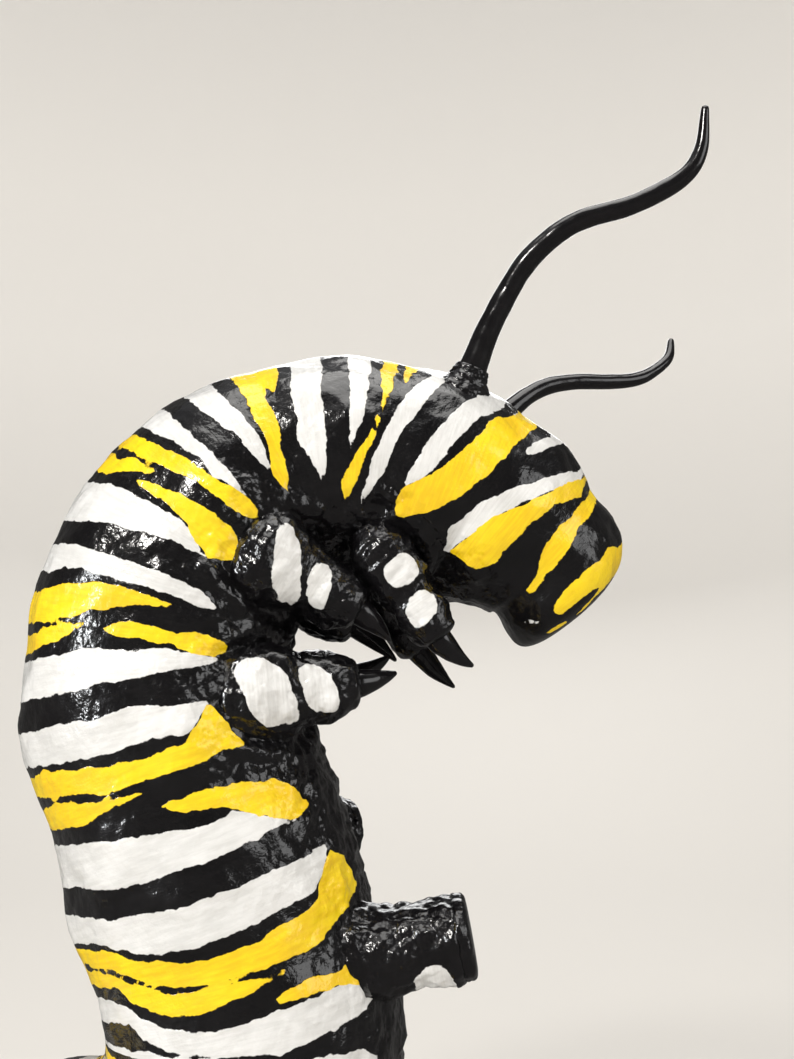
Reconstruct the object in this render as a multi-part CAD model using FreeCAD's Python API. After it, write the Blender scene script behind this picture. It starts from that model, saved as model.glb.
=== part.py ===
"""Rearing striped insect larva, a painted papier-mache craft figure.

Millimetres, +Z up, head towards +X, the figure's right side towards -Y.
The spine lies in the upright middle plane. Each body segment is a hoop of
paper skin on card formers threaded on a rod, and the legs, claws, tentacles,
prolegs and their soles are separate pieces glued to the skin.
"""
import FreeCAD, Part
import math
import os

from FreeCAD import Vector

os.makedirs("parts", exist_ok=True)

# Driving dimensions
SKIN_WALL = 4.0
SEGMENT_BULGE = 2.0
ROD_RADIUS = 4.0
FORMER_THICKNESS = 3.0
FORMER_SETBACK = 1.5
WIRE_RADIUS = 1.5
WIRE_ROOT_DEPTH = 12.0
COLLAR_HEIGHT = 9.0
COLLAR_WIDTH = 4.5
CLAW_RADIUS = 6.0
CLAW_TIP_RADIUS = 0.8
SOLE_THICKNESS = 6.0
SOLE_TAPER = 4.0
REST_LEVEL = -4.0
REST_PROLEG_RADIUS = 22.0
ANAL_PROLEG_RADIUS = 17.0

# The spine from the neck to the tail: x, z and skin radius at each joint
# between two segments and at the middle of each segment, in turn.
SPINE = [
    (70, 391, 41.5), (56.5, 403, 46.5),
    (39, 416, 49), (19, 425, 51),
    (-6, 433, 51), (-30, 434, 51),
    (-56, 429, 52), (-80, 414, 55),
    (-101, 391, 58), (-112, 364, 60),
    (-116, 338, 62), (-113, 312, 64),
    (-101, 275, 65), (-88, 238, 66),
    (-75, 201, 66), (-67, 166, 66),
    (-73, 130, 66), (-93, 103, 65),
    (-122, 89, 64), (-153, 85, 62),
    (-183, 83, 61), (-211, 80, 58),
    (-237, 77, 54), (-260, 73, 49),
    (-281, 69, 43), (-301, 64, 35),
]
TAIL_DOME = [(-313, 61, 27), (-321, 59, 16), (-324, 58, 5)]
HEAD_DOME = [
    (79.9, 381.9, 38.8), (85.1, 372.0, 37.6), (87.7, 365.0, 34.2),
    (89.0, 360.3, 28.5), (89.5, 357.4, 19.5), (89.7, 356.3, 7),
]
# The way the face looks: its rings are all square to this direction.
HEAD_AXIS = Vector(0.644, 0, -0.765)
SKIN_NAMES = ["thorax_skin_%d" % n for n in (1, 2, 3)] + ["abdomen_skin_%02d" % n for n in range(1, 11)]

# True legs: the root inside the body, the end that carries the claw and the
# claw's tip, then the leg's radius at five places from root to end. The left
# claws point a little apart from the right ones, as they were bent by hand.
RIGHT_LEGS = [
    ((-19, -33, 396), (17, -34, 342.5), (34, -26, 331), (9, 13, 15, 13, 9.5)),
    ((-80, -34, 389), (-20.5, -36, 355.5), (-6, -28, 342.5), (16, 24, 26, 18, 10.5)),
    ((-88, -38, 316), (-20.5, -36, 323), (-3, -28, 328), (16, 23, 24.5, 19.5, 11.5)),
]
LEFT_TIP_SHIFTS = [(-1, 0, -10), (8, -6, -8), (3, 4, 10)]
LEFT_END_SHARE = 0.4
LEG_RING_PLACES = [0, 0.12, 0.3, 0.55, 1]

# Tentacles: points along each one, then its radius at those points.
FRONT_RIGHT = [
    (32, -26, 470), (43, -32, 498), (57, -38, 524), (71, -42, 539), (86, -46, 548),
    (109, -52, 554), (126, -55, 562), (137, -58, 570), (143, -60, 582), (145, -62, 603),
]
FRONT_RIGHT_RADII = [7.5, 6.0, 5.5, 5.2, 5.0, 4.8, 4.4, 4.0, 3.4, 1.8]
FRONT_LEFT = [
    (49, 23, 458), (61, 26, 467.5), (75, 30, 479), (88, 33, 486), (105, 36, 489.5),
    (124, 40, 491), (140, 44, 494), (152, 48, 500), (163, 53, 510), (167, 58, 523),
]
FRONT_LEFT_RADII = [7.0, 5.8, 5.0, 4.6, 4.3, 4.2, 3.9, 3.5, 2.9, 1.6]
REAR_RIGHT = [(-211, -27, 132), (-221, -31, 146), (-236, -36, 157), (-252, -41, 166), (-261, -44, 180)]
REAR_RADII = [6.0, 4.8, 4.2, 3.4, 1.8]

# Raised prolegs on the rearing part: root, sole centre and end radius.
RAISED_PROLEGS = {
    "1_right": ((-40, -22, 196), (25, -32, 208), 20),
    "1_left": ((-62, 26, 250), (-25, 43, 248), 17),
    "2_right": ((-46, -20, 114), (2, -31, 86), 20),
    "2_left": ((-44, 24, 146), (-5, 40, 142), 15),
}
# Prolegs that stand on the ground: x and distance from the middle plane.
STANDING_PROLEGS = {"3": (-86, 30), "4": (-168, 31)}
ANAL_PROLEG = (-286, 22)


def smooth(points, steps):
    """Points of a smooth curve through the given ones, with their sizes."""
    before = [2 * a - b for a, b in zip(points[0], points[1])]
    after = [2 * a - b for a, b in zip(points[-1], points[-2])]
    padded = [before] + [list(p) for p in points] + [after]
    curve = []
    for i in range(1, len(padded) - 2):
        p0, p1, p2, p3 = padded[i - 1:i + 3]
        for k in range(steps):
            t = k / steps
            curve.append([
                0.5 * (2 * b + (c - a) * t + (2 * a - 5 * b + 4 * c - d) * t ** 2
                       + (3 * b - 3 * c + d - a) * t ** 3)
                for a, b, c, d in zip(p0, p1, p2, p3)])
    curve.append(list(points[-1]))
    return curve


def circle_wire(centre, tangent, radius, side=Vector(0, -1, 0)):
    """A circle square to the tangent, its seam always on the same side."""
    tangent = Vector(tangent).normalize()
    across = (side - tangent * side.dot(tangent)).normalize()
    third = tangent.cross(across)
    axes = FreeCAD.Matrix(across.x, third.x, tangent.x, centre.x,
                          across.y, third.y, tangent.y, centre.y,
                          across.z, third.z, tangent.z, centre.z,
                          0, 0, 0, 1)
    circle = Part.makeCircle(radius)
    circle.Placement = FreeCAD.Placement(axes)
    return Part.Wire([circle])


def loft(centres, tangents, radii, side=Vector(0, -1, 0)):
    wires = [circle_wire(c, t, r, side) for c, t, r in zip(centres, tangents, radii)]
    return Part.makeLoft(wires, True, False)


def tangents_of(centres):
    ends = [centres[0]] + centres + [centres[-1]]
    return [ends[i + 2] - ends[i] for i in range(len(centres))]


def tapered(points, radii, side=Vector(0, -1, 0)):
    """A round piece along points that a hand bent, with its radius at each."""
    curve = smooth([tuple(p) + (r,) for p, r in zip(points, radii)], 2)
    centres = [Vector(*c[:3]) for c in curve]
    return loft(centres, tangents_of(centres), [c[3] for c in curve], side)


# The body's smooth spine: four rings to each segment, and one to close it.
RINGS = 4
_spine = smooth(SPINE, RINGS // 2)
_spine_path = _spine + [list(p) for p in TAIL_DOME]
CENTRES = [Vector(x, 0, z) for x, z, r in _spine_path]
TANGENTS = tangents_of([Vector(HEAD_DOME[0][0], 0, HEAD_DOME[0][1])] + CENTRES)[1:]


def bulge(index):
    """How far the skin swells between the grooves where segments meet."""
    phase = (index % RINGS) / RINGS
    return SEGMENT_BULGE * math.sin(math.pi * phase)


def skin_rings(first, last, inset):
    centres = CENTRES[first:last + 1]
    tangents = TANGENTS[first:last + 1]
    radii = [_spine[i][2] + bulge(i) - inset for i in range(first, last + 1)]
    return centres, tangents, radii


def segment_solid(number, inset):
    """One segment of the body, filled: the last one closes in the tail dome."""
    first = number * RINGS
    last = min(first + RINGS, len(_spine) - 1)
    centres, tangents, radii = skin_rings(first, last, inset)
    if last - first < RINGS:
        dome = len(TAIL_DOME) if inset == 0 else len(TAIL_DOME) - 1
        centres = centres + CENTRES[len(_spine):len(_spine) + dome]
        tangents = tangents + TANGENTS[len(_spine):len(_spine) + dome]
        radii = radii + [r - inset for x, z, r in TAIL_DOME[:dome]]
    return loft(centres, tangents, radii)


def head_solid(inset):
    dome = HEAD_DOME if inset == 0 else HEAD_DOME[:-1]
    centres = [CENTRES[0]] + [Vector(x, 0, z) - HEAD_AXIS * inset for x, z, r in dome]
    tangents = [TANGENTS[0] * -1] + [HEAD_AXIS] * len(dome)
    radii = [SPINE[0][2] - inset] + [r - inset for x, z, r in dome]
    return loft(centres, tangents, radii)


def cut_all(shape, tools):
    for tool in tools:
        if shape.BoundBox.intersect(tool.BoundBox):
            shape = shape.cut(tool)
    return largest_solid(shape)


def largest_solid(shape):
    return max(shape.Solids, key=lambda solid: solid.Volume)


def mirrored(points):
    return [(x, -y, z) for x, y, z in points]


parts = {}

# Body: filled segments for cutting the glued-on pieces to, and their hollows.
outer = [segment_solid(n, 0) for n in range(len(SKIN_NAMES))]
hollow = [segment_solid(n, SKIN_WALL) for n in range(len(SKIN_NAMES))]
head_outer = head_solid(0)
head_hollow = head_solid(SKIN_WALL)
body = [head_outer] + outer

# Rod through the middle of the body, from the head to the tail.
rod_centres = [Vector(HEAD_DOME[1][0], 0, HEAD_DOME[1][1])] + CENTRES[:len(_spine)]
rod = loft(rod_centres, tangents_of(rod_centres), [ROD_RADIUS] * len(rod_centres))
parts["spine_rod"] = rod

# Card formers, one just behind each joint, threaded on the rod.
formers = []
for number in range(len(SKIN_NAMES)):
    along = Vector(TANGENTS[number * RINGS]).normalize()
    here = CENTRES[number * RINGS] + along * FORMER_SETBACK
    blank = Part.makeCylinder(1.3 * SPINE[2 * number][2], FORMER_THICKNESS, here, along)
    formers.append(largest_solid(blank.cut(rod).common(hollow[number])))
parts["former_discs"] = Part.makeCompound(formers)


# Tentacles, the wires inside them and the paper collars at their feet.
def tentacle_set(name, points, radii):
    base = Vector(*points[0])
    rise = (Vector(*points[1]) - base).normalize()
    root = base - rise * WIRE_ROOT_DEPTH
    below = [tuple(root)] + list(points)
    side = Vector(0, 0, 1).cross(rise).normalize()
    wire = tapered(below[:-2], [WIRE_RADIUS] * (len(below) - 2), side)
    shaft = tapered(below, [radii[0]] + list(radii), side)
    shaft = cut_all(shaft, body + [wire])
    foot = base - rise * COLLAR_HEIGHT
    top = base + rise * COLLAR_HEIGHT
    widths = [radii[0] + 1.6 * COLLAR_WIDTH, radii[0] + COLLAR_WIDTH, radii[0] + 0.4]
    collar = loft([foot, base, top], [rise] * 3, widths, side)
    collar = cut_all(collar, body + [shaft, wire])
    parts["%s_tentacle_%s" % name] = shaft
    parts["%s_collar_%s" % name] = collar
    return wire


wires = [
    tentacle_set(("front", "right"), FRONT_RIGHT, FRONT_RIGHT_RADII),
    tentacle_set(("front", "left"), FRONT_LEFT, FRONT_LEFT_RADII),
    tentacle_set(("rear", "right"), REAR_RIGHT, REAR_RADII),
    tentacle_set(("rear", "left"), mirrored(REAR_RIGHT), REAR_RADII),
]
parts["tentacle_wires"] = Part.makeCompound(wires)

# Skin hoops and the head shell, drilled for the wires.
parts["head_shell"] = largest_solid(head_outer.cut(head_hollow))
for name, full, inside in zip(SKIN_NAMES, outer, hollow):
    parts[name] = cut_all(full.cut(inside), wires)


# True legs and their claws.
def leg_and_claw(name, root, end, tip, widths, neighbours):
    root, end, tip = Vector(*root), Vector(*end), Vector(*tip)
    direction = end - root
    rings = [root + direction * place for place in LEG_RING_PLACES]
    leg = loft(rings, [direction] * len(rings), widths)
    parts["leg_" + name] = cut_all(leg, body + neighbours)
    neighbours.append(parts["leg_" + name])
    reach = tip - end
    bow = (Vector(direction).normalize() * reach.Length - reach) * 0.12
    spots = [end, end + reach * 0.4 + bow, end + reach * 0.75 + bow * 0.8, tip]
    sizes = [CLAW_RADIUS, 0.72 * CLAW_RADIUS, 0.38 * CLAW_RADIUS, CLAW_TIP_RADIUS]
    turns = [direction, direction.normalize() * reach.Length + reach, reach, tip - spots[2]]
    parts["claw_" + name] = loft(spots, turns, sizes)


right_legs = []
left_legs = []
for number, (root, end, tip, widths) in enumerate(RIGHT_LEGS):
    leg_and_claw("%d_right" % (number + 1), root, end, tip, widths, right_legs)
    left_root, left_end, left_tip = mirrored((root, end, tip))
    shift = LEFT_TIP_SHIFTS[number]
    left_end = [a + LEFT_END_SHARE * b for a, b in zip(left_end, shift)]
    left_tip = [a + b for a, b in zip(left_tip, shift)]
    leg_and_claw("%d_left" % (number + 1), left_root, left_end, left_tip, widths, left_legs)


# Prolegs: short stout tubes, each ending in a thick round sole.
def proleg_and_sole(names, root, end, radius):
    root, end = Vector(*root), Vector(*end)
    along = (end - root).normalize()
    waist = root * 0.4 + end * 0.6
    side = Vector(0, -1, 0) if abs(along.y) < 0.9 else Vector(1, 0, 0)
    tube = loft([root, waist, end], [along] * 3, [radius + 5, radius - 0.5, radius - 0.5], side)
    proleg_name, sole_name = names
    parts[proleg_name] = cut_all(tube, body)
    rim = loft([end, end + along * SOLE_THICKNESS * 0.35, end + along * SOLE_THICKNESS],
               [along] * 3, [radius - 0.5, radius - 0.25 * SOLE_TAPER, radius - SOLE_TAPER], side)
    parts[sole_name] = rim


for name, (root, end, radius) in RAISED_PROLEGS.items():
    proleg_and_sole(("proleg_" + name, "sole_" + name), root, end, radius)
for side_name, side_sign in (("right", -1), ("left", 1)):
    sole_top = REST_LEVEL + SOLE_THICKNESS
    for number, (x, offset) in STANDING_PROLEGS.items():
        name = "%s_%s" % (number, side_name)
        proleg_and_sole(("proleg_" + name, "sole_" + name), (x, side_sign * offset, 60),
                        (x, side_sign * offset, sole_top), REST_PROLEG_RADIUS)
    x, offset = ANAL_PROLEG
    proleg_and_sole(("anal_proleg_" + side_name, "anal_sole_" + side_name),
                    (x, side_sign * offset, 55), (x, side_sign * offset, sole_top), ANAL_PROLEG_RADIUS)

# The origin is under the middle of the whole figure, on the ground.
whole = FreeCAD.BoundBox()
for shape in parts.values():
    whole.add(shape.optimalBoundingBox(False, False))
to_origin = Vector(-whole.Center.x, -whole.Center.y, -whole.ZMin)
for name, shape in parts.items():
    shape.translate(to_origin)
    shape.exportStep("parts/%s.step" % name)
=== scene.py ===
"""Looks of a rearing striped insect larva, a painted papier-mache craft figure.

Shapes are worked out in millimetres in the figure's own frame, and moved to
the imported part's frame by the place of one of its soles.
"""

import math

import bpy
import numpy as np
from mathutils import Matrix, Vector


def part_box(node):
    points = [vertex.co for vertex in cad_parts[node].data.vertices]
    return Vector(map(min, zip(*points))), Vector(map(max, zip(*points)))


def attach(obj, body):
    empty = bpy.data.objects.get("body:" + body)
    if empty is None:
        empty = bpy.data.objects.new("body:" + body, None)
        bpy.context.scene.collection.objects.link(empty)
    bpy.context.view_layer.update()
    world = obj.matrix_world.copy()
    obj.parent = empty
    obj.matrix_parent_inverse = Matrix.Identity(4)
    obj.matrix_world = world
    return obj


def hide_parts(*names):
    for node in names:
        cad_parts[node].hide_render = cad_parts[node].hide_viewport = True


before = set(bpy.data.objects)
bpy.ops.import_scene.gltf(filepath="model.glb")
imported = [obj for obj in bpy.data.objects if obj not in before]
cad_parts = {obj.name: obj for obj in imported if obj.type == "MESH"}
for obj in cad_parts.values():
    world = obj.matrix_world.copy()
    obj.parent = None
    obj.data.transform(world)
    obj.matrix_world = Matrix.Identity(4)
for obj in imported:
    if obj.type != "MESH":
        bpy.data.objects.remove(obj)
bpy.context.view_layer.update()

# The right sole of the third proleg pair has its centre at x -86, y -30 and
# its underside at z -4 in the figure's own frame.
sole_low, sole_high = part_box("sole_3_right")
SHIFT = np.array([
    500 * (sole_low.x + sole_high.x) + 86,
    500 * (sole_low.y + sole_high.y) + 30,
    1000 * sole_low.z + 4,
])
GROUND = -4.0

# ---------------------------------------------------------------- body data
# Rows of x, z and skin radius, from the tip of the head to the tail. The spine
# has one row at each joint between segments and one at each segment's middle.
HEAD_DOME = [
    (89.7, 356.0, 0), (89.7, 356.3, 7), (89.5, 357.4, 19.5), (89.0, 360.3, 28.5),
    (87.7, 365.0, 34.2), (85.1, 372.0, 37.6), (79.9, 381.9, 38.8),
]
HEAD_AXIS = (0.644, 0, -0.765)
SPINE = [
    (70, 391, 41.5), (56.5, 403, 46.5),
    (39, 416, 49), (19, 425, 51),
    (-6, 433, 51), (-30, 434, 51),
    (-56, 429, 52), (-80, 414, 55),
    (-101, 391, 58), (-112, 364, 60),
    (-116, 338, 62), (-113, 312, 64),
    (-101, 275, 65), (-88, 238, 66),
    (-75, 201, 66), (-67, 166, 66),
    (-73, 130, 66), (-93, 103, 65),
    (-122, 89, 64), (-153, 85, 62),
    (-183, 83, 61), (-211, 80, 58),
    (-237, 77, 54), (-260, 73, 49),
    (-281, 69, 43), (-301, 64, 35),
]
TAIL_DOME = [(-313, 61, 27), (-321, 59, 16), (-324, 58, 5), (-324.3, 57.9, 0)]
PATH = HEAD_DOME + SPINE + TAIL_DOME
NECK_INDEX = len(HEAD_DOME)
SEGMENTS = 13
SEGMENT_BULGE = 2.0
BODY_COLUMNS = 240
ROW_SPACING = 2.0
SKIN_WALL = 4.0
# Depth inside a painted mark is given only this far from the mark's edge.
DEPTH_LIMIT = 9.0
SKIN_NAMES = ["head_shell"] + ["thorax_skin_%d" % n for n in (1, 2, 3)] + [
    "abdomen_skin_%02d" % n for n in range(1, 11)]

# Painted marks on the black skin. Each is a list of (angle from the middle of
# the back in degrees, start, end), where start and end are places along the
# body counted in segments from the neck. Both sides carry the same marks.
YELLOW = [
    [(0, -.16, -.02), (28, -.165, -.015), (47, -.21, 0), (59, -.20, .03), (70, -.19, .01), (90, -.31, .04),
     (100, -.385, 0), (105, -.40, -.05), (111, -.42, -.17), (118, -.50, -.28), (128, -.535, -.35),
     (132, -.5, -.45)],
    [(0, -1.66, -1.07), (34, -1.72, -1.05), (51, -1.74, -.90), (59, -1.73, -.863), (68, -1.70, -.89),
     (80, -1.61, -.905), (90, -1.53, -.887), (105, -1.49, -.912), (115, -1.50, -.99), (119, -1.42, -1.03),
     (121, -1.2, -1.1)],
    [(0, -1.90, -1.70), (60, -1.92, -1.72), (80, -1.97, -1.80), (96, -2.15, -1.98), (102, -2.10, -2.05)],
    [(116, -2.10, -1.95), (122, -2.10, -1.83), (130, -2.0, -1.76), (136, -1.95, -1.82)],
    [(0, .16, .24), (40, .14, .23), (50, .09, .29), (60, .16, .345), (75, .28, .46), (90, .345, .60),
     (105, .40, .75), (120, .37, .835), (130, .42, .92), (135, .5, .94)],
    [(0, .86, 1.03), (33, .90, 1.07), (45, .93, 1.14), (60, .975, 1.27), (75, 1.0, 1.355), (85, 1.03, 1.45),
     (95, 1.13, 1.54), (105, 1.23, 1.70), (112, 1.37, 1.83), (118, 1.50, 1.86), (125, 1.72, 1.78)],
    [(0, 1.90, 1.985), (28, 1.93, 2.0), (43, 1.974, 2.02), (49.5, 2.0, 2.01)],
    [(0, 2.04, 2.14), (30, 2.056, 2.156), (45, 2.08, 2.18), (57, 2.09, 2.17), (66, 2.125, 2.16),
     (80, 2.174, 2.22), (90, 2.215, 2.293), (100, 2.307, 2.436), (110, 2.39, 2.546), (116, 2.44, 2.56),
     (121, 2.52, 2.53)],
    [(0, 2.87, 2.955), (40, 2.88, 2.967), (50, 2.92, 2.967), (58, 2.955, 2.962)],
    [(0, 2.97, 3.10), (37, 2.97, 3.11), (60, 3.0, 3.115), (77, 2.99, 3.113), (88, 3.05, 3.155),
     (97, 3.063, 3.21), (104, 3.10, 3.21), (109.5, 3.16, 3.18)],
    [(0, 3.73, 3.82), (38, 3.72, 3.82), (50, 3.696, 3.80), (60, 3.667, 3.78), (70, 3.644, 3.742),
     (84, 3.616, 3.70), (92, 3.553, 3.68), (102, 3.507, 3.65), (108, 3.515, 3.60), (112, 3.545, 3.56)],
    [(0, 3.86, 3.97), (33, 3.875, 3.974), (45, 3.83, 3.917), (55, 3.815, 3.867), (65, 3.818, 3.822)],
    [(56, 3.918, 3.925), (65, 3.87, 3.935), (80, 3.826, 3.93), (90, 3.80, 3.97), (98, 3.785, 4.05),
     (105, 3.776, 4.118), (111, 3.80, 4.09), (116, 3.90, 3.98)],
    [(0, 4.69, 4.87), (30, 4.68, 4.868), (40, 4.636, 4.852), (55, 4.595, 4.818), (65, 4.568, 4.76),
     (75, 4.557, 4.716), (85, 4.568, 4.664), (97, 4.61, 4.62)],
    [(0, 4.93, 5.04), (28, 4.925, 5.04), (40, 4.895, 5.0), (50, 4.87, 4.96), (58, 4.86, 4.91),
     (64, 4.843, 4.848)],
    [(71, 4.875, 4.885), (78, 4.808, 4.917), (85, 4.80, 4.932), (95, 4.84, 4.96), (99, 4.845, 4.95),
     (103, 4.85, 5.01), (112, 4.825, 5.065), (118, 4.85, 5.09), (123, 4.96, 5.02)],
    [(0, 5.68, 5.78), (25, 5.68, 5.78), (35, 5.665, 5.805), (50, 5.698, 5.82), (65, 5.727, 5.873),
     (85, 5.766, 5.87), (98, 5.75, 5.875), (103, 5.70, 5.873), (108, 5.618, 5.85), (112, 5.564, 5.86),
     (116, 5.72, 5.86), (120.5, 5.86, 5.865)],
    [(0, 5.86, 5.97), (22, 5.845, 5.975), (35, 5.84, 5.985), (50, 5.857, 5.989), (60, 5.884, 5.966),
     (70, 5.914, 5.94), (78.5, 5.92, 5.925)],
    [(84, 6.027, 6.033), (92, 6.023, 6.10), (105, 6.016, 6.136), (110, 6.04, 6.18), (120, 6.077, 6.28),
     (128, 6.09, 6.345), (135, 6.175, 6.34), (140, 6.29, 6.31)],
    [(0, 6.62, 6.72), (40, 6.66, 6.766), (50, 6.727, 6.845), (60, 6.78, 6.93), (70, 6.815, 6.98),
     (80, 6.86, 7.0), (100, 6.864, 7.01), (115, 6.834, 7.01), (125, 6.823, 6.998), (130, 6.79, 6.98),
     (134, 6.71, 6.965), (142, 6.59, 6.925), (150, 6.675, 6.89), (156, 6.84, 6.86)],
    [(0, 6.75, 6.87), (40, 6.80, 6.90), (45, 6.85, 6.998), (55, 6.93, 7.06), (65, 7.0, 7.125),
     (75, 7.016, 7.14), (90, 7.027, 7.114), (100, 7.045, 7.095), (110, 7.055, 7.06)],
    [(101, 7.197, 7.203), (108, 7.16, 7.22), (118, 7.155, 7.236), (128, 7.185, 7.25), (140, 7.186, 7.30),
     (150, 7.175, 7.34), (160, 7.165, 7.31), (168, 7.215, 7.225)],
    [(0, 7.56, 7.68), (45, 7.62, 7.76), (90, 7.76, 7.94), (115, 7.74, 7.97), (140, 7.68, 7.96),
     (152, 7.76, 7.9)],
    [(0, 7.73, 7.84), (45, 7.81, 7.93), (75, 7.95, 8.06), (98, 8.02, 8.07), (106, 8.04, 8.05)],
    [(98, 8.10, 8.11), (110, 8.06, 8.14), (125, 8.05, 8.20), (142, 8.06, 8.24), (152, 8.11, 8.18)],
]
WHITE = [
    [(133, -1.24, -1.20), (136, -1.29, -1.10), (140, -1.15, -.98), (145, -1.0, -.94), (148, -.97, -.95)],
    [(0, .24, .31), (40, .23, .33), (50, .29, .41), (60, .345, .505), (75, .46, .65), (90, .60, .82),
     (105, .75, 1.0), (115, .80, 1.10), (122, .85, 1.18), (130, .92, 1.15), (136, 1.0, 1.08)],
    [(0, .62, .74), (36, .65, .77), (50, .735, .855), (60, .82, .87), (62.5, .86, .865)],
    [(0, 1.15, 1.38), (35, 1.185, 1.41), (45, 1.23, 1.46), (60, 1.355, 1.60), (73, 1.47, 1.68),
     (90, 1.57, 1.765), (98, 1.62, 1.78), (105, 1.71, 1.81), (110, 1.82, 1.83)],
    [(0, 1.66, 1.80), (38, 1.74, 1.856), (45, 1.77, 1.90), (60, 1.84, 1.99), (75, 1.91, 2.05),
     (90, 2.0, 2.14), (105, 2.056, 2.24), (113, 2.15, 2.30), (120, 2.26, 2.345), (124, 2.31, 2.33)],
    [(0, 2.24, 2.40), (40, 2.25, 2.41), (60, 2.28, 2.41), (75, 2.304, 2.44), (85, 2.357, 2.455),
     (94.5, 2.44, 2.45)],
    [(0, 2.60, 2.79), (40, 2.615, 2.815), (60, 2.65, 2.85), (75, 2.655, 2.85), (86, 2.65, 2.90),
     (95, 2.665, 2.858), (103, 2.70, 2.79), (110, 2.745, 2.755)],
    [(0, 3.22, 3.38), (40, 3.22, 3.38), (55, 3.195, 3.36), (70, 3.18, 3.29), (85, 3.15, 3.27),
     (92, 3.18, 3.245), (98, 3.215, 3.225)],
    [(0, 3.52, 3.68), (40, 3.52, 3.66), (60, 3.515, 3.62), (75, 3.495, 3.58), (84, 3.485, 3.60),
     (92, 3.50, 3.553), (100, 3.505, 3.515)],
    [(0, 4.03, 4.24), (35, 4.025, 4.236), (50, 3.99, 4.206), (65, 3.985, 4.168), (80, 3.967, 4.15),
     (88, 3.96, 4.135), (95, 4.008, 4.127), (104, 4.112, 4.12)],
    [(0, 4.385, 4.57), (33, 4.384, 4.57), (45, 4.365, 4.523), (60, 4.355, 4.51), (75, 4.37, 4.52),
     (90, 4.38, 4.51), (100, 4.39, 4.534), (108, 4.44, 4.56), (115, 4.51, 4.545)],
    [(0, 5.085, 5.31), (35, 5.08, 5.30), (50, 5.055, 5.30), (62, 5.02, 5.295), (75, 5.02, 5.266),
     (90, 5.016, 5.258), (100, 5.0, 5.23), (108, 5.05, 5.209), (115, 5.08, 5.165), (120, 5.10, 5.12)],
    [(0, 5.47, 5.63), (30, 5.47, 5.63), (50, 5.475, 5.657), (70, 5.48, 5.68), (85, 5.466, 5.675),
     (95, 5.505, 5.69), (99, 5.515, 5.714), (105, 5.534, 5.664), (112, 5.555, 5.565)],
    [(0, 6.06, 6.30), (35, 6.075, 6.30), (50, 6.084, 6.34), (65, 6.12, 6.37), (85, 6.165, 6.373),
     (97, 6.198, 6.373), (108, 6.18, 6.365), (117, 6.25, 6.36), (125, 6.32, 6.357), (131, 6.35, 6.357)],
    [(0, 6.44, 6.60), (40, 6.486, 6.63), (50, 6.52, 6.686), (65, 6.535, 6.75), (80, 6.55, 6.777),
     (100, 6.566, 6.78), (115, 6.555, 6.765), (130, 6.568, 6.76), (134, 6.56, 6.71), (142, 6.555, 6.585)],
    [(0, 6.95, 7.10), (42, 7.016, 7.12), (50, 7.10, 7.22), (60, 7.18, 7.36), (70, 7.23, 7.40),
     (85, 7.265, 7.43), (100, 7.255, 7.46), (115, 7.25, 7.42), (130, 7.25, 7.40), (140, 7.295, 7.38),
     (146, 7.32, 7.35)],
    [(0, 7.26, 7.42), (45, 7.33, 7.49), (65, 7.42, 7.60), (90, 7.50, 7.68), (118, 7.50, 7.66),
     (136, 7.52, 7.62), (143, 7.56, 7.58)],
]
# Marks of the five hind segments, from each one's front joint.
HIND_YELLOW = [
    [(0, .84, .95), (50, .85, .98), (90, .86, 1.0), (115, .84, .99), (136, .80, .96), (148, .83, .90)],
    [(0, .99, 1.06), (45, 1.0, 1.08), (75, 1.03, 1.11), (100, 1.05, 1.10), (108, 1.06, 1.07)],
    [(96, 1.13, 1.14), (108, 1.10, 1.17), (125, 1.09, 1.22), (140, 1.10, 1.25), (150, 1.13, 1.20)],
]
HIND_WHITE = [
    [(0, .12, .36), (40, .12, .35), (80, .24, .40), (110, .27, .41), (128, .28, .38), (136, .31, .34)],
    [(0, .55, .77), (50, .55, .76), (90, .55, .75), (115, .56, .74), (130, .60, .70), (138, .63, .66)],
]
for segment in range(8, SEGMENTS):
    for marks, wanted in ((HIND_YELLOW, YELLOW), (HIND_WHITE, WHITE)):
        for mark in marks:
            wanted.append([(a, segment + low, segment + high) for a, low, high in mark])

# ---------------------------------------------------------------- limb data
# Root inside the body, end that carries the claw, tip of the claw, and the
# leg's radius at five places. The left legs mirror these, with their tips moved.
RIGHT_LEGS = [
    ((-19, -33, 396), (17, -34, 342.5), (34, -26, 331), (9, 13, 15, 13, 9.5)),
    ((-80, -34, 389), (-20.5, -36, 355.5), (-6, -28, 342.5), (16, 24, 26, 18, 10.5)),
    ((-88, -38, 316), (-20.5, -36, 323), (-3, -28, 328), (16, 23, 24.5, 19.5, 11.5)),
]
LEFT_TIP_SHIFTS = [(-1, 0, -10), (8, -6, -8), (3, 4, 10)]
LEFT_END_SHARE = 0.4
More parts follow.
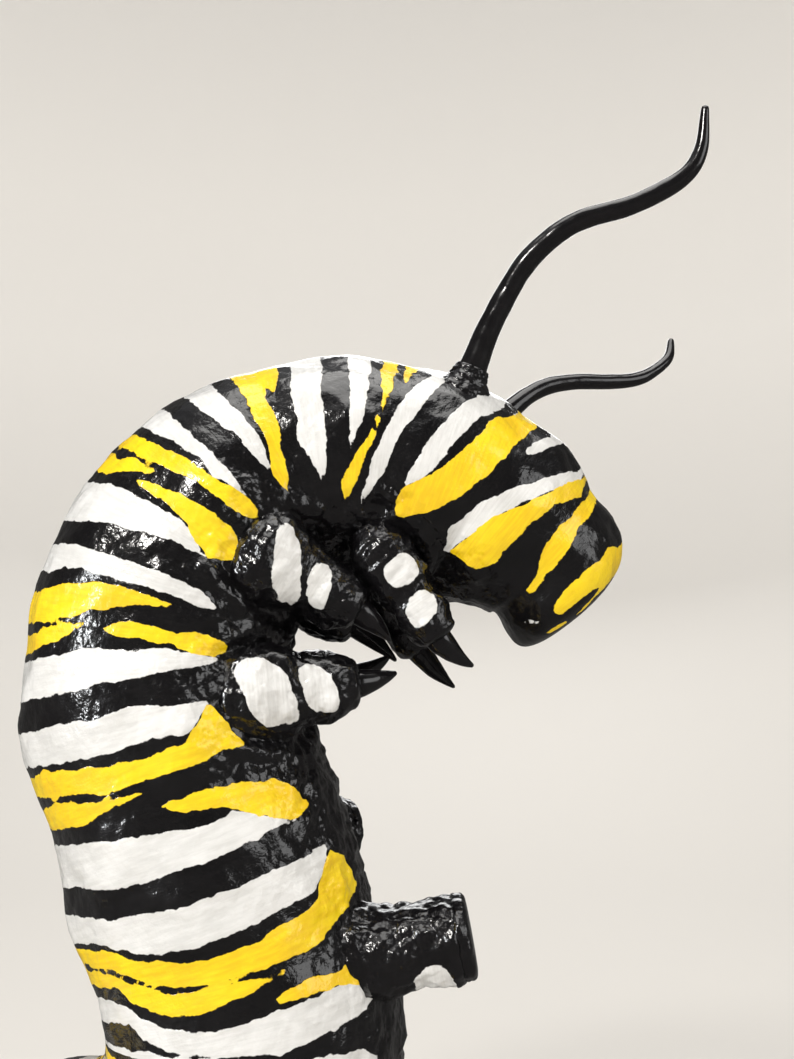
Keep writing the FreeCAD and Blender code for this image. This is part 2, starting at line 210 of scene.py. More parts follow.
# White marks on each leg: place from root to end, turn from its outer side in
# degrees, half its size along the leg and across it, and how much it leans.
LEG_MARKS = [
    [(0.42, -6, 7.0, 8.6, 0.1), (0.72, 2, 6.6, 8.6, 0.25)],
    [(0.42, -2, 7.2, 16.5, 0.48), (0.67, 0, 5.8, 11, 0.35)],
    [(0.36, 0, 11.0, 17, 0.33), (0.70, 4, 7.5, 12.5, 0.3)],
]
FRONT_RIGHT = [
    (32, -26, 470), (43, -32, 498), (57, -38, 524), (71, -42, 539), (86, -46, 548),
    (109, -52, 554), (126, -55, 562), (137, -58, 570), (143, -60, 582), (145, -62, 603),
]
FRONT_RIGHT_RADII = [7.5, 6.0, 5.5, 5.2, 5.0, 4.8, 4.4, 4.0, 3.4, 1.8]
FRONT_LEFT = [
    (49, 23, 458), (61, 26, 467.5), (75, 30, 479), (88, 33, 486), (105, 36, 489.5),
    (124, 40, 491), (140, 44, 494), (152, 48, 500), (163, 53, 510), (167, 58, 523),
]
FRONT_LEFT_RADII = [7.0, 5.8, 5.0, 4.6, 4.3, 4.2, 3.9, 3.5, 2.9, 1.6]
REAR_RIGHT = [(-211, -27, 132), (-221, -31, 146), (-236, -36, 157), (-252, -41, 166), (-261, -44, 180)]
REAR_RADII = [6.0, 4.8, 4.2, 3.4, 1.8]
# Raised prolegs: root, middle of the sole's inner face, and end radius.
RAISED_PROLEGS = {
    "1_right": ((-40, -22, 196), (25, -32, 208), 20),
    "1_left": ((-62, 26, 250), (-25, 43, 248), 17),
    "2_right": ((-46, -20, 114), (2, -31, 86), 20),
    "2_left": ((-44, 24, 146), (-5, 40, 142), 15),
}
# Prolegs that stand on the ground: x and distance from the middle plane.
STANDING_PROLEGS = {"3": (-86, 30), "4": (-168, 31)}
STANDING_RADIUS = 22
ANAL_PROLEG = (-286, 22)
ANAL_RADIUS = 17
SOLE_THICKNESS = 6.0


# ---------------------------------------------------------------- shape tools
def waves(points, size, seed, count=22):
    """A smooth random height of about one unit at each point; size is its width in millimetres."""
    draw = np.random.default_rng(seed)
    heading = draw.normal(size=(count, 3))
    heading /= np.linalg.norm(heading, axis=1)[:, None]
    rate = 2 * math.pi / size * draw.uniform(0.55, 1.5, count)
    phase = draw.uniform(0, 2 * math.pi, count)
    total = np.zeros(len(points))
    for h, k, p in zip(heading, rate, phase):
        total += np.sin(points @ (h * k) + p)
    return total * math.sqrt(2 / count)


def creases(points, size, seed):
    """Folds like those of wet paper: sharp valleys between rounded pads."""
    return np.abs(waves(points, size, seed)) - 0.8


def catmull(rows, places):
    """Values of a smooth curve through rows, at fractional row numbers."""
    rows = np.array(rows, float)
    first = 2 * rows[0] - rows[1]
    last = 2 * rows[-1] - rows[-2]
    padded = np.vstack([first, rows, last])
    index = np.clip(np.floor(places).astype(int), 0, len(rows) - 2)
    t = (places - index)[:, None]
    a, b, c, d = (padded[index + k] for k in range(4))
    square = (2 * a - 5 * b + 4 * c - d) * t ** 2
    cube = (3 * b - 3 * c + d - a) * t ** 3
    return 0.5 * (2 * b + (c - a) * t + square + cube)


def even_places(rows, spacing):
    """Row numbers about spacing apart along the smooth curve through rows."""
    fine = np.linspace(0, len(rows) - 1, 60 * len(rows))
    steps = np.linalg.norm(np.diff(catmull(rows, fine), axis=0), axis=1)
    length = np.concatenate([[0], np.cumsum(steps)])
    return np.interp(np.linspace(0, length[-1], int(length[-1] / spacing) + 1), length, fine)


def unit(vectors):
    return vectors / np.maximum(np.linalg.norm(vectors, axis=-1), 1e-9)[..., None]


def grid_faces(rows, columns, start=0):
    """Quads of a tube of rings, each ring closed on itself."""
    r = np.arange(rows - 1)[:, None] * columns
    c = np.arange(columns)[None, :]
    after = (c + 1) % columns
    quads = np.stack([r + c, r + after, r + columns + after, r + columns + c], axis=-1)
    return quads.reshape(-1, 4) + start


def add_mesh(name, points, faces, material, fields, flow, layout=None, normals=None):
    """One piece from figure points in millimetres, in place of the CAD node of the same name."""
    mesh = bpy.data.meshes.new(name)
    placed = (np.asarray(points) + SHIFT) / 1000
    mesh.from_pydata(placed.tolist(), [], [list(f) for f in faces])
    mesh.polygons.foreach_set("use_smooth", np.ones(len(mesh.polygons), bool))
    for label in ("white", "yellow", "crumple"):
        values = fields.get(label)
        if values is None:
            values = np.full(len(placed), -DEPTH_LIMIT if label != "crumple" else 0.0)
        layer = mesh.attributes.new(label, "FLOAT", "POINT")
        layer.data.foreach_set("value", np.ascontiguousarray(values, np.float32))
    layer = mesh.attributes.new("flow", "FLOAT_VECTOR", "POINT")
    layer.data.foreach_set("vector", np.ascontiguousarray(flow, np.float32).ravel())
    if layout is not None:
        uv = mesh.uv_layers.new(name="OFBake")
        uv.data.foreach_set("uv", np.ascontiguousarray(layout, np.float32).ravel())
    if normals is not None:
        mesh.normals_split_custom_set(normals.tolist())
    mesh.materials.append(material)
    mesh.update()
    piece = bpy.data.objects.new(name, mesh)
    bpy.context.scene.collection.objects.link(piece)
    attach(piece, "root")
    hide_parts(name)


# ---------------------------------------------------------------- materials
def node_tools(material):
    """The material's shader, with one function that makes a node and one that links two sockets."""
    material.use_nodes = True
    tree = material.node_tree
    shader = tree.nodes["Principled BSDF"]

    def node(kind, **settings):
        made = tree.nodes.new(kind)
        for key, value in settings.items():
            if key.startswith("in_"):
                made.inputs[int(key[3:])].default_value = value
            else:
                setattr(made, key, value)
        return made

    def join(source, target):
        tree.links.new(source, target)

    return shader, node, join


def sums(node, join, operation, first, second):
    """One step of arithmetic on two values, each a number or a socket."""
    made = node("ShaderNodeMath", operation=operation)
    for socket, value in zip(made.inputs, (first, second)):
        if isinstance(value, (int, float)):
            socket.default_value = value
        else:
            join(value, socket)
    return made.outputs[0]


def ramp_between(node, join, value, low, high, start=0.0, end=1.0):
    """A smooth step from start to end while the value goes from low to high."""
    made = node("ShaderNodeMapRange", interpolation_type="SMOOTHSTEP",
                in_1=low, in_2=high, in_3=start, in_4=end)
    join(value, made.inputs[0])
    return made.outputs[0]


def tint(node, join, share, first, second):
    """A mix of two colours, each a tuple or a socket."""
    made = node("ShaderNodeMix", data_type="RGBA")
    join(share, made.inputs[0])
    for socket, value in zip((made.inputs[6], made.inputs[7]), (first, second)):
        if isinstance(value, tuple):
            socket.default_value = value + (1,)
        else:
            join(value, socket)
    return made.outputs[2]


def noise_of(node, join, vector, scale, detail=2.0, rough=0.5):
    """Smooth noise from 0 to 1; the scale is in waves to the metre for object places."""
    made = node("ShaderNodeTexNoise", in_2=scale, in_3=detail, in_4=rough)
    join(vector, made.inputs[0])
    return made.outputs[0]


def painted(name, grain, gloss, black=(0.0032, 0.003, 0.0034), brush=1.0):
    """Brushed gloss paint over paper: black ground, with white and yellow marks where a piece has them."""
    material = bpy.data.materials.new(name)
    shader, node, join = node_tools(material)
    place = node("ShaderNodeTexCoord").outputs["Object"]
    flow = node("ShaderNodeAttribute", attribute_name="flow").outputs["Vector"]
    crumple = node("ShaderNodeAttribute", attribute_name="crumple").outputs["Fac"]
    wobble_coarse = noise_of(node, join, place, 110, 2)
    wobble_fine = noise_of(node, join, place, 420, 2)
    wobble = sums(node, join, "ADD", sums(node, join, "MULTIPLY", wobble_coarse, 4.4),
                  sums(node, join, "MULTIPLY", wobble_fine, 1.3))
    masks = []
    for label in ("white", "yellow"):
        depth = node("ShaderNodeAttribute", attribute_name=label).outputs["Fac"]
        depth = sums(node, join, "ADD", depth, sums(node, join, "SUBTRACT", wobble, 2.85))
        masks.append(ramp_between(node, join, depth, -0.22, 0.22))
    white_mask, yellow_mask = masks
    cloud = noise_of(node, join, place, 38, 3)
    streak_place = node("ShaderNodeVectorMath", operation="MULTIPLY")
    join(flow, streak_place.inputs[0])
    streak_place.inputs[1].default_value = (0.07, 0.75, 0.3)
    streaks = noise_of(node, join, streak_place.outputs[0], 1.0, 3, 0.6)
    uneven = sums(node, join, "MULTIPLY", sums(node, join, "ADD", cloud, streaks), 0.5)
    patch = ramp_between(node, join, uneven, 0.36, 0.62)
    dark = tint(node, join, patch, black, tuple(1.8 * c for c in black))
    pale = tint(node, join, patch, (0.67, 0.67, 0.655), (0.80, 0.80, 0.79))
    warm = tint(node, join, patch, (0.90, 0.57, 0.003), (1.0, 0.72, 0.004))
    colour = tint(node, join, white_mask, dark, pale)
    colour = tint(node, join, yellow_mask, colour, warm)
    join(colour, shader.inputs["Base Color"])
    light_mask = sums(node, join, "MAXIMUM", white_mask, yellow_mask)
    smear = noise_of(node, join, place, 60, 2)
    rough = sums(node, join, "MULTIPLY_ADD", smear, 0.16)
    rough.node.inputs[2].default_value = gloss
    rough = sums(node, join, "ADD", rough, sums(node, join, "MULTIPLY", light_mask, 0.16))
    join(rough, shader.inputs["Roughness"])
    shader.inputs["IOR"].default_value = 1.5
    shader.inputs["Coat Weight"].default_value = 0.6
    shader.inputs["Coat Roughness"].default_value = 0.06
    paper = noise_of(node, join, place, grain, 3, 0.55)
    pits = node("ShaderNodeTexVoronoi", feature="SMOOTH_F1", in_2=330)
    join(place, pits.inputs[0])
    rough_ground = sums(node, join, "MULTIPLY", pits.outputs["Distance"], crumple)
    height = sums(node, join, "MULTIPLY", streaks, 0.13 * brush)
    height = sums(node, join, "ADD", height, sums(node, join, "MULTIPLY", paper, 0.55))
    height = sums(node, join, "ADD", height, sums(node, join, "MULTIPLY", rough_ground, 0.75))
    height = sums(node, join, "ADD", height, sums(node, join, "MULTIPLY", light_mask, 0.10))
    bump = node("ShaderNodeBump", in_0=0.85, in_1=0.001)
    join(height, bump.inputs["Height"])
    join(bump.outputs[0], shader.inputs["Normal"])
    join(bump.outputs[0], shader.inputs["Coat Normal"])
    return material


def glossy_black(name):
    """Smooth hard lacquer, as on the modelled claws and tentacles."""
    material = bpy.data.materials.new(name)
    shader, node, join = node_tools(material)
    place = node("ShaderNodeTexCoord").outputs["Object"]
    cloud = noise_of(node, join, place, 90, 3)
    join(tint(node, join, cloud, (0.003, 0.003, 0.0035), (0.009, 0.008, 0.009)), shader.inputs["Base Color"])
    join(ramp_between(node, join, noise_of(node, join, place, 140, 2), 0.3, 0.7, 0.10, 0.24),
         shader.inputs["Roughness"])
    shader.inputs["Coat Weight"].default_value = 0.5
    shader.inputs["Coat Roughness"].default_value = 0.05
    bump = node("ShaderNodeBump", in_0=0.6, in_1=0.001)
    join(sums(node, join, "MULTIPLY", noise_of(node, join, place, 260, 2), 0.32), bump.inputs["Height"])
    join(bump.outputs[0], shader.inputs["Normal"])
    return material


def plain_grained(name, first, second, scale, rough, metallic=0.0, bump_height=0.2):
    """One grained finish between two colours, for the inside parts."""
    material = bpy.data.materials.new(name)
    shader, node, join = node_tools(material)
    place = node("ShaderNodeTexCoord").outputs["Object"]
    grain = noise_of(node, join, place, scale, 4)
    join(tint(node, join, grain, first, second), shader.inputs["Base Color"])
    join(ramp_between(node, join, grain, 0.3, 0.7, rough - 0.08, rough + 0.08), shader.inputs["Roughness"])
    shader.inputs["Metallic"].default_value = metallic
    bump = node("ShaderNodeBump", in_0=0.7, in_1=0.001)
    join(sums(node, join, "MULTIPLY", grain, bump_height), bump.inputs["Height"])
    join(bump.outputs[0], shader.inputs["Normal"])
    return material


striped_paint = painted("striped_paint", 260, 0.12)
blotched_paint = painted("blotched_paint", 300, 0.12, brush=0.6)
black_paint = painted("black_paint", 280, 0.13, black=(0.0036, 0.0033, 0.0038), brush=0.7)
black_lacquer = glossy_black("black_lacquer")
card = plain_grained("card", (0.36, 0.25, 0.14), (0.47, 0.34, 0.20), 320, 0.8)
wire = plain_grained("wire", (0.42, 0.42, 0.43), (0.55, 0.55, 0.56), 900, 0.35, 1.0, 0.05)

for kept, finish in (("former_discs", card), ("spine_rod", wire), ("tentacle_wires", wire)):
    kept_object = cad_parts[kept]
    kept_object.data.materials.clear()
    kept_object.data.materials.append(finish)


# ---------------------------------------------------------------- body
def body_places():
    """Places along the body about a row apart, with one exactly at each joint."""
    places = even_places(PATH, ROW_SPACING)
    joints = NECK_INDEX + 2 * np.arange(SEGMENTS)
    for joint in joints:
        places[np.argmin(np.abs(places - joint))] = joint
    return places[1:-1]


places = body_places()
ROWS = len(places)
profile = catmull(PATH, places)
before = catmull(PATH, places - 0.02)
after = catmull(PATH, places + 0.02)
along = np.zeros((ROWS, 3))
along[:, 0] = after[:, 0] - before[:, 0]
along[:, 2] = after[:, 1] - before[:, 1]
along = unit(along)
share = np.clip(places - (NECK_INDEX - 1), 0, 1)[:, None]
share = share * share * (3 - 2 * share)
along = unit(share * along - (1 - share) * np.array(HEAD_AXIS))
dorsal = np.stack([along[:, 2], np.zeros(ROWS), -along[:, 0]], axis=1)
station = (places - NECK_INDEX) / 2
between_ends = (station > 0) & (station < SEGMENTS)
swell = np.where(between_ends, SEGMENT_BULGE * np.abs(np.sin(math.pi * station)), 0)
radius = np.maximum(profile[:, 2], 0.2) + swell
centre = np.stack([profile[:, 0], np.zeros(ROWS), profile[:, 1]], axis=1)

angle = np.arange(BODY_COLUMNS) * 2 * math.pi / BODY_COLUMNS
outward = (np.cos(angle)[None, :, None] * dorsal[:, None, :]
           - np.sin(angle)[None, :, None] * np.array([0, 1, 0])[None, None, :])
skin = centre[:, None, :] + radius[:, None, None] * outward
degrees = np.degrees(angle)
side_angle = np.minimum(degrees, 360 - degrees)
U = np.repeat(station[:, None], BODY_COLUMNS, 1)
A = np.repeat(side_angle[None, :], ROWS, 0)


def leg_entries():
    """The root, direction and entry radius of each true leg."""
    spots = []
    for root, end, _, widths in RIGHT_LEGS:
        for sign in (1, -1):
            a = np.array(root, float) * (1, sign, 1)
            b = np.array(end, float) * (1, sign, 1)
            spots.append((a, unit(b - a), widths[2]))
    return spots


def body_relief(points):
    """How far the paper surface stands off its smooth shape, in millimetres."""
    flat = points.reshape(-1, 3)
    belly = np.clip((A.ravel() - 112) / 30, 0, 1)
    belly *= np.clip((U.ravel() + 0.2) / 0.4, 0, 1)
    limb = np.zeros(len(flat))
    ridge = np.zeros(len(flat))
    for spot, heading, root_radius in leg_entries():
        offset = flat - spot
        off_axis = np.linalg.norm(offset - (offset @ heading)[:, None] * heading, axis=1)
        on_axis = offset @ heading
        ahead = np.clip((on_axis + 30) / 25, 0, 1) * np.exp(-np.maximum(on_axis - 45, 0) / 10)
        edge = (off_axis - root_radius - 5) / 4.0
        ridge += 2.2 * np.exp(-edge ** 2) * ahead
        ridge += 0.9 * np.exp(-((off_axis - root_radius - 15) / 4.0) ** 2) * ahead
        limb = np.maximum(limb, np.exp(-np.maximum(off_axis - root_radius - 8, 0) / 9) * ahead)
    crumple = np.clip(belly + limb, 0, 1)
    relief = 0.75 * waves(flat, 52, 11) + 0.30 * waves(flat, 20, 12) + 0.09 * waves(flat, 7, 13)
    folds = 0.75 * creases(flat, 22, 14) + 0.45 * creases(flat, 9, 15) + 0.12 * waves(flat, 4.5, 16)
    relief += crumple * folds
    relief += np.minimum(ridge, 3.0)
    return relief, crumple


relief, crumple = body_relief(skin)
fade = np.clip(radius / 20, 0, 1)
relief = relief.reshape(ROWS, BODY_COLUMNS) * fade[:, None]
skin = skin + relief[:, :, None] * outward
crumple = crumple.reshape(ROWS, BODY_COLUMNS)


def row_step():
    """Surface length per unit of station at every skin point, in millimetres."""
    step = np.linalg.norm(np.gradient(skin, axis=0), axis=2)
    return step / np.maximum(np.abs(np.gradient(station))[:, None], 1e-6)


STEP = np.clip(row_step(), 12, 160)
drift = 0.018 * waves(skin.reshape(-1, 3), 60, 21).reshape(ROWS, BODY_COLUMNS)
drift += 0.006 * waves(skin.reshape(-1, 3), 16, 22).reshape(ROWS, BODY_COLUMNS)
left = (degrees > 180)[None, :]
U_PAINT = U + np.where(left, drift, 0.0)


def mark_depth(marks):
    """Distance inside the nearest painted mark, in millimetres, negative outside."""
    depth = np.full((ROWS, BODY_COLUMNS), -DEPTH_LIMIT)
    for mark in marks:
        turns, lows, highs = (np.array(column, float) for column in zip(*mark))
        low = np.interp(side_angle, turns, lows)
        high = np.interp(side_angle, turns, highs)
        slope = np.abs(np.gradient((low + high) / 2, np.radians(360 / BODY_COLUMNS)))[None, :]
        across = np.minimum(U_PAINT - low[None, :], high[None, :] - U_PAINT) * STEP
        lean = slope * STEP / np.maximum(radius[:, None], 5)
        across = across / np.sqrt(1 + np.minimum(lean, 4) ** 2)
        edge = np.radians(turns[-1] - side_angle)[None, :] * radius[:, None]
        if turns[0] > 0:
            edge = np.minimum(edge, np.radians(side_angle - turns[0])[None, :] * radius[:, None])
        depth = np.maximum(depth, np.minimum(across, edge))
    return np.clip(depth, -DEPTH_LIMIT, DEPTH_LIMIT)


white_depth = mark_depth(WHITE)
yellow_depth = mark_depth(YELLOW)
flow = np.stack([np.repeat((np.radians(np.where(degrees > 180, degrees - 360, degrees)))[None, :], ROWS, 0)
                 * radius[:, None], U * 45, np.zeros_like(U)], axis=2)

# Normals of the whole skin, so that neighbouring hoops meet without a line.
d_row = np.gradient(skin, axis=0)
d_column = (np.roll(skin, -1, axis=1) - np.roll(skin, 1, axis=1))
skin_normal = unit(np.cross(d_column, d_row))
flip = np.sign(np.sum(skin_normal * outward, axis=2))
skin_normal = skin_normal * np.where(flip == 0, 1, flip)[:, :, None]
inner = centre[:, None, :] + np.maximum(radius - SKIN_WALL, 1.0)[:, None, None] * outward


def corner_normals(points, faces):
    """Unit normals of faces, from each one's first three corners."""
    start = points[faces[:, 0]]
    return unit(np.cross(points[faces[:, 1]] - start, points[faces[:, 2]] - start))


def body_hoop(name, first, last):
    """One closed hoop of paper skin between two rows; the end hoops are closed by a pole."""
    outer = skin[first:last + 1]
    rows = last - first + 1
    count = BODY_COLUMNS
    cap_head = first == 0
    cap_tail = last == ROWS - 1
    picks = np.unique(np.linspace(0, rows - 1, 5).astype(int))
    if cap_head:
        picks = picks[1:]
    if cap_tail:
        picks = picks[:-1]
    inside = inner[first + picks]
    points = [outer.reshape(-1, 3), inside.reshape(-1, 3)]
    faces = [grid_faces(rows, count)]
    inner_start = rows * count
    inner_rows = len(picks)
    faces.append(grid_faces(inner_rows, count, inner_start)[:, ::-1])
    column = np.arange(count)
    following = (column + 1) % count
    if not cap_head:
        faces.append(np.stack([column, column + inner_start, following + inner_start, following], axis=1))
    if not cap_tail:
        o, i = (rows - 1) * count, inner_start + (inner_rows - 1) * count
        faces.append(np.stack([o + column, o + following, i + following, i + column], axis=1))
    faces = np.vstack(faces)
    total = sum(len(p) for p in points)
    triangles = []
    poles = []
    if cap_head or cap_tail:
        row = 0 if cap_head else rows - 1
        o = row * count
        i = inner_start + (0 if cap_head else inner_rows - 1) * count
        poles = [outer[row].mean(axis=0), inside[0 if cap_head else -1].mean(axis=0)]
        pole_o, pole_i = total, total + 1
        if cap_head:
            triangles = [(pole_o, o + b, o + a) for a, b in zip(column, following)]
            triangles += [(pole_i, i + a, i + b) for a, b in zip(column, following)]
        else:
            triangles = [(pole_o, o + a, o + b) for a, b in zip(column, following)]
            triangles += [(pole_i, i + b, i + a) for a, b in zip(column, following)]
        points.append(np.array(poles))
    everything = np.vstack(points)
    face_normal = corner_normals(everything, faces)
    outer_count = (rows - 1) * count
    check = np.sum(face_normal[:outer_count] * outward[first:last].reshape(-1, 3), axis=1).mean()
    if check < 0:
        faces = faces[:, ::-1]
        face_normal = -face_normal
        triangles = [t[::-1] for t in triangles]
    loops = np.zeros((len(faces), 4, 3))
    outer_normals = skin_normal[first:last + 1].reshape(-1, 3)
    loops[:outer_count] = outer_normals[faces[:outer_count]]
    loops[outer_count:] = face_normal[outer_count:, None, :]
    loops = loops.reshape(-1, 3)
    if triangles:
        tri = np.array(triangles)
        tri_normal = corner_normals(everything, tri)
        loops = np.vstack([loops, np.repeat(tri_normal, 3, axis=0)])
    extra = total - rows * count
    pad = extra + len(poles)

    def field(values, empty):
        tip = np.full(pad, empty)
        return np.concatenate([values[first:last + 1].ravel(), tip])

    fields = {
        "white": field(white_depth, -DEPTH_LIMIT),
        "yellow": field(yellow_depth, -DEPTH_LIMIT),
        "crumple": field(crumple, 0.0),
    }
    if poles:
        row = first if cap_head else last
        for label, values in (("white", white_depth), ("yellow", yellow_depth), ("crumple", crumple)):
            fields[label][total] = values[row].mean()
    flows = np.vstack([flow[first:last + 1].reshape(-1, 3), np.zeros((pad, 3))])
    # Bake layout: outer wall over most of the square, everything else in a strip.
    u_all = np.zeros((len(faces), 4))
    v_all = np.zeros((len(faces), 4))
    column_of = faces % count
    row_of = faces // count
    wrap = (column_of.max(axis=1) - column_of.min(axis=1)) > 1
    u_all[:] = np.where(wrap[:, None] & (column_of == 0), count, column_of) / count
    v_all[:outer_count] = 0.02 + 0.86 * row_of[:outer_count] / (rows - 1)
    rest = np.arange(outer_count, len(faces))
    v_all[rest] = 0.92 + 0.06 * (np.argsort(np.argsort(faces[rest], axis=1), axis=1) > 1)
    layout = np.stack([u_all, v_all], axis=2).reshape(-1, 2)
    if triangles:
        turn = 2 * math.pi * (tri % count) / count
        spread = np.where(tri >= total, 0.0, 0.03)
        disc_v = np.where(np.arange(len(tri)) < count, 0.93, 0.97)[:, None]
        disc = np.stack([0.5 + spread * np.cos(turn), disc_v + spread * 0.3 * np.sin(turn)], axis=2)
        layout = np.vstack([layout, disc.reshape(-1, 2)])
    all_faces = faces.tolist() + [list(map(int, t)) for t in triangles]
    add_mesh(name, everything, all_faces, striped_paint, fields, flows, layout, loops)


joint_rows = [0] + [int(np.argmin(np.abs(station - n))) for n in range(SEGMENTS)] + [ROWS - 1]
for name, first, last in zip(SKIN_NAMES, joint_rows[:-1], joint_rows[1:]):
    body_hoop(name, first, last)


# ---------------------------------------------------------------- limbs
def tube(name, points, radii, material, spacing=1.2, columns=56, lumps=0.3, lump_size=14.0, seed=1,
         crumple_level=0.0, outer=(0, -1, 0), marks=(), squash=None, fold=0.0, round_end=0.0, floor=None):
    """A solid round piece along points, with its radius at each, closed at both ends."""
    rows_in = [tuple(p) + (r,) for p, r in zip(points, radii)]
    at = even_places(rows_in, spacing)
    shape = catmull(rows_in, at)
    spine = shape[:, :3]
    girth = np.maximum(shape[:, 3], 0.15)
    heading = unit(np.gradient(spine, axis=0))
    travelled = np.concatenate([[0], np.cumsum(np.linalg.norm(np.diff(spine, axis=0), axis=1))])
    share = travelled / travelled[-1]
    if round_end:
        left_over = np.clip((travelled[-1] - travelled) / round_end, 0, 1)
        girth = girth * np.sqrt(np.clip(1 - (1 - left_over) ** 2, 0.0025, 1))
    first_side = np.array(outer, float)
    sides = []
    side = first_side - heading[0] * (first_side @ heading[0])
    for direction in heading:
        side = side - direction * (side @ direction)
        side = side / np.linalg.norm(side)
        sides.append(side)
    sides = np.array(sides)
    third = np.cross(heading, sides)
    turn = np.arange(columns) * 2 * math.pi / columns
    out = np.cos(turn)[None, :, None] * sides[:, None, :] + np.sin(turn)[None, :, None] * third[:, None, :]
    if squash is not None:
        out = out * (1 + squash * (np.abs(np.cos(turn)) - 0.64))[None, :, None]
    surface = spine[:, None, :] + girth[:, None, None] * out
    flat = surface.reshape(-1, 3)
    height = lumps * (waves(flat, lump_size * 2.2, seed) + 0.5 * waves(flat, lump_size * 0.8, seed + 1))
    height += fold * (creases(flat, lump_size, seed + 2) + 0.5 * creases(flat, lump_size * 0.45, seed + 3))
    height = height.reshape(len(spine), columns) * np.clip(girth / 6, 0, 1)[:, None]
    surface = surface + height[:, :, None] * out
    white = np.full((len(spine), columns), -DEPTH_LIMIT)
    turned = np.degrees((turn + math.pi) % (2 * math.pi) - math.pi)
    for place, around, half_long, half_wide, lean in marks:
        arc = np.radians(turned - around)[None, :] * girth[:, None]
        d_long = ((share - place)[:, None] * travelled[-1] - lean * arc) / half_long
        d_wide = arc / half_wide
        reach = (np.abs(d_long) ** 2.6 + np.abs(d_wide) ** 2.6) ** (1 / 2.6)
        white = np.maximum(white, (1 - reach) * min(half_long, half_wide))
    rows = len(spine)
    faces = grid_faces(rows, columns).tolist()
    ends = np.array([surface[0].mean(axis=0), surface[-1].mean(axis=0)])
    base = rows * columns
    column = range(columns)
    faces += [[base, (c + 1) % columns, c] for c in column]
    top = (rows - 1) * columns
    faces += [[base + 1, top + c, top + (c + 1) % columns] for c in column]
    everything = np.vstack([surface.reshape(-1, 3), ends])
    if floor is not None:
        everything[:, 2] = np.maximum(everything[:, 2], floor)
    a, b, c = (everything[[f[k] for f in faces[:columns * 4]]] for k in range(3))
    if np.sum(np.cross(b - a, c - a) * (a - np.repeat(spine[:4], columns, axis=0)[:len(a)])) < 0:
        faces = [f[::-1] for f in faces]
    crumple_here = np.full(len(everything), crumple_level)
    flow_here = np.zeros((len(everything), 3))
    flow_here[:base, 0] = (turned[None, :] * np.pi / 180 * girth[:, None]).ravel()
    flow_here[:base, 1] = np.repeat(travelled, columns)
    flow_here[:, 2] = seed * 3.0
    white = np.clip(white, -DEPTH_LIMIT, DEPTH_LIMIT).ravel()
    fields = {"white": np.concatenate([white, [-DEPTH_LIMIT, -DEPTH_LIMIT]]), "crumple": crumple_here}
    add_mesh(name, everything, faces, material, fields, flow_here)


def leg(name, root, end, tip, widths, marks, seed):
    """A stub leg and its smooth pointed claw."""
    root, end, tip = (np.array(p, float) for p in (root, end, tip))
    right = end[1] < 0
    outer = (0, -1, 0) if right else (0, 1, 0)
    spots = [root + (end - root) * t for t in (0, 0.12, 0.3, 0.5, 0.6, 0.8, 0.94, 1.0)]
    girths = [widths[0], widths[1], widths[2], widths[3] + 1.2, 0.85 * widths[3] + 0.8,
              0.5 * (widths[3] + widths[4]) + 0.6, widths[4] + 1.0, widths[4] - 0.5]
    tube("leg_" + name, spots, girths, blotched_paint, spacing=1.0, columns=96, lumps=0.55,
         lump_size=13, seed=seed, crumple_level=0.75, outer=outer, marks=marks, fold=0.5, round_end=4.0)
    reach = tip - end
    direction = unit(end - root)
    length = np.linalg.norm(reach)
    bow = (direction * length - reach) * 0.12
    base = end - direction * 3
    spots = [base, end, end + reach * 0.4 + bow, end + reach * 0.75 + bow * 0.8, tip]
    tube("claw_" + name, spots, [6.2, 6.0, 4.4, 2.4, 0.7], black_lacquer, spacing=0.8,
         columns=40, lumps=0.12, lump_size=9, seed=seed + 5, outer=outer, squash=-0.12, round_end=0.8)


for number, (root, end, tip, widths) in enumerate(RIGHT_LEGS):
    leg("%d_right" % (number + 1), root, end, tip, widths, LEG_MARKS[number], 30 + 10 * number)
    left_root, left_end, left_tip = (np.array((x, -y, z), float) for x, y, z in (root, end, tip))
    shift = np.array(LEFT_TIP_SHIFTS[number], float)
    left_marks = [(place, -turn, tall, wide, -lean) for place, turn, tall, wide, lean in LEG_MARKS[number]]
    leg("%d_left" % (number + 1), left_root, left_end + LEFT_END_SHARE * shift, left_tip + shift, widths,
        left_marks, 60 + 10 * number)


def tentacle(kind, side, points, radii, seed):
    """A curved tentacle, with the rough paper collar that glues it to the skin."""
    base = np.array(points[0], float)
    rise = unit(np.array(points[1], float) - base)
    root = tuple(base - rise * 12)
    tube("%s_tentacle_%s" % (kind, side), [root] + list(points), [radii[0]] + list(radii),
         black_lacquer, spacing=1.0, columns=36, lumps=0.10, lump_size=12, seed=seed, round_end=2.0,
         outer=(1, 0, 0))
    heights = [-12, -9, -5, -1, 3, 6.5, 8]
    extra = [8.6, 7.6, 6.0, 3.8, 1.5, 0.5, 0.1]
    spots = [tuple(base + rise * h) for h in heights]
    tube("%s_collar_%s" % (kind, side), spots, [radii[0] + e for e in extra], black_paint,
         spacing=0.7, columns=64, lumps=0.35, lump_size=7, seed=seed + 3, crumple_level=0.8,
         outer=(1, 0, 0), fold=0.55)


tentacle("front", "right", FRONT_RIGHT, FRONT_RIGHT_RADII, 91)
tentacle("front", "left", FRONT_LEFT, FRONT_LEFT_RADII, 96)
tentacle("rear", "right", REAR_RIGHT, REAR_RADII, 101)
tentacle("rear", "left", [(x, -y, z) for x, y, z in REAR_RIGHT], REAR_RADII, 106)


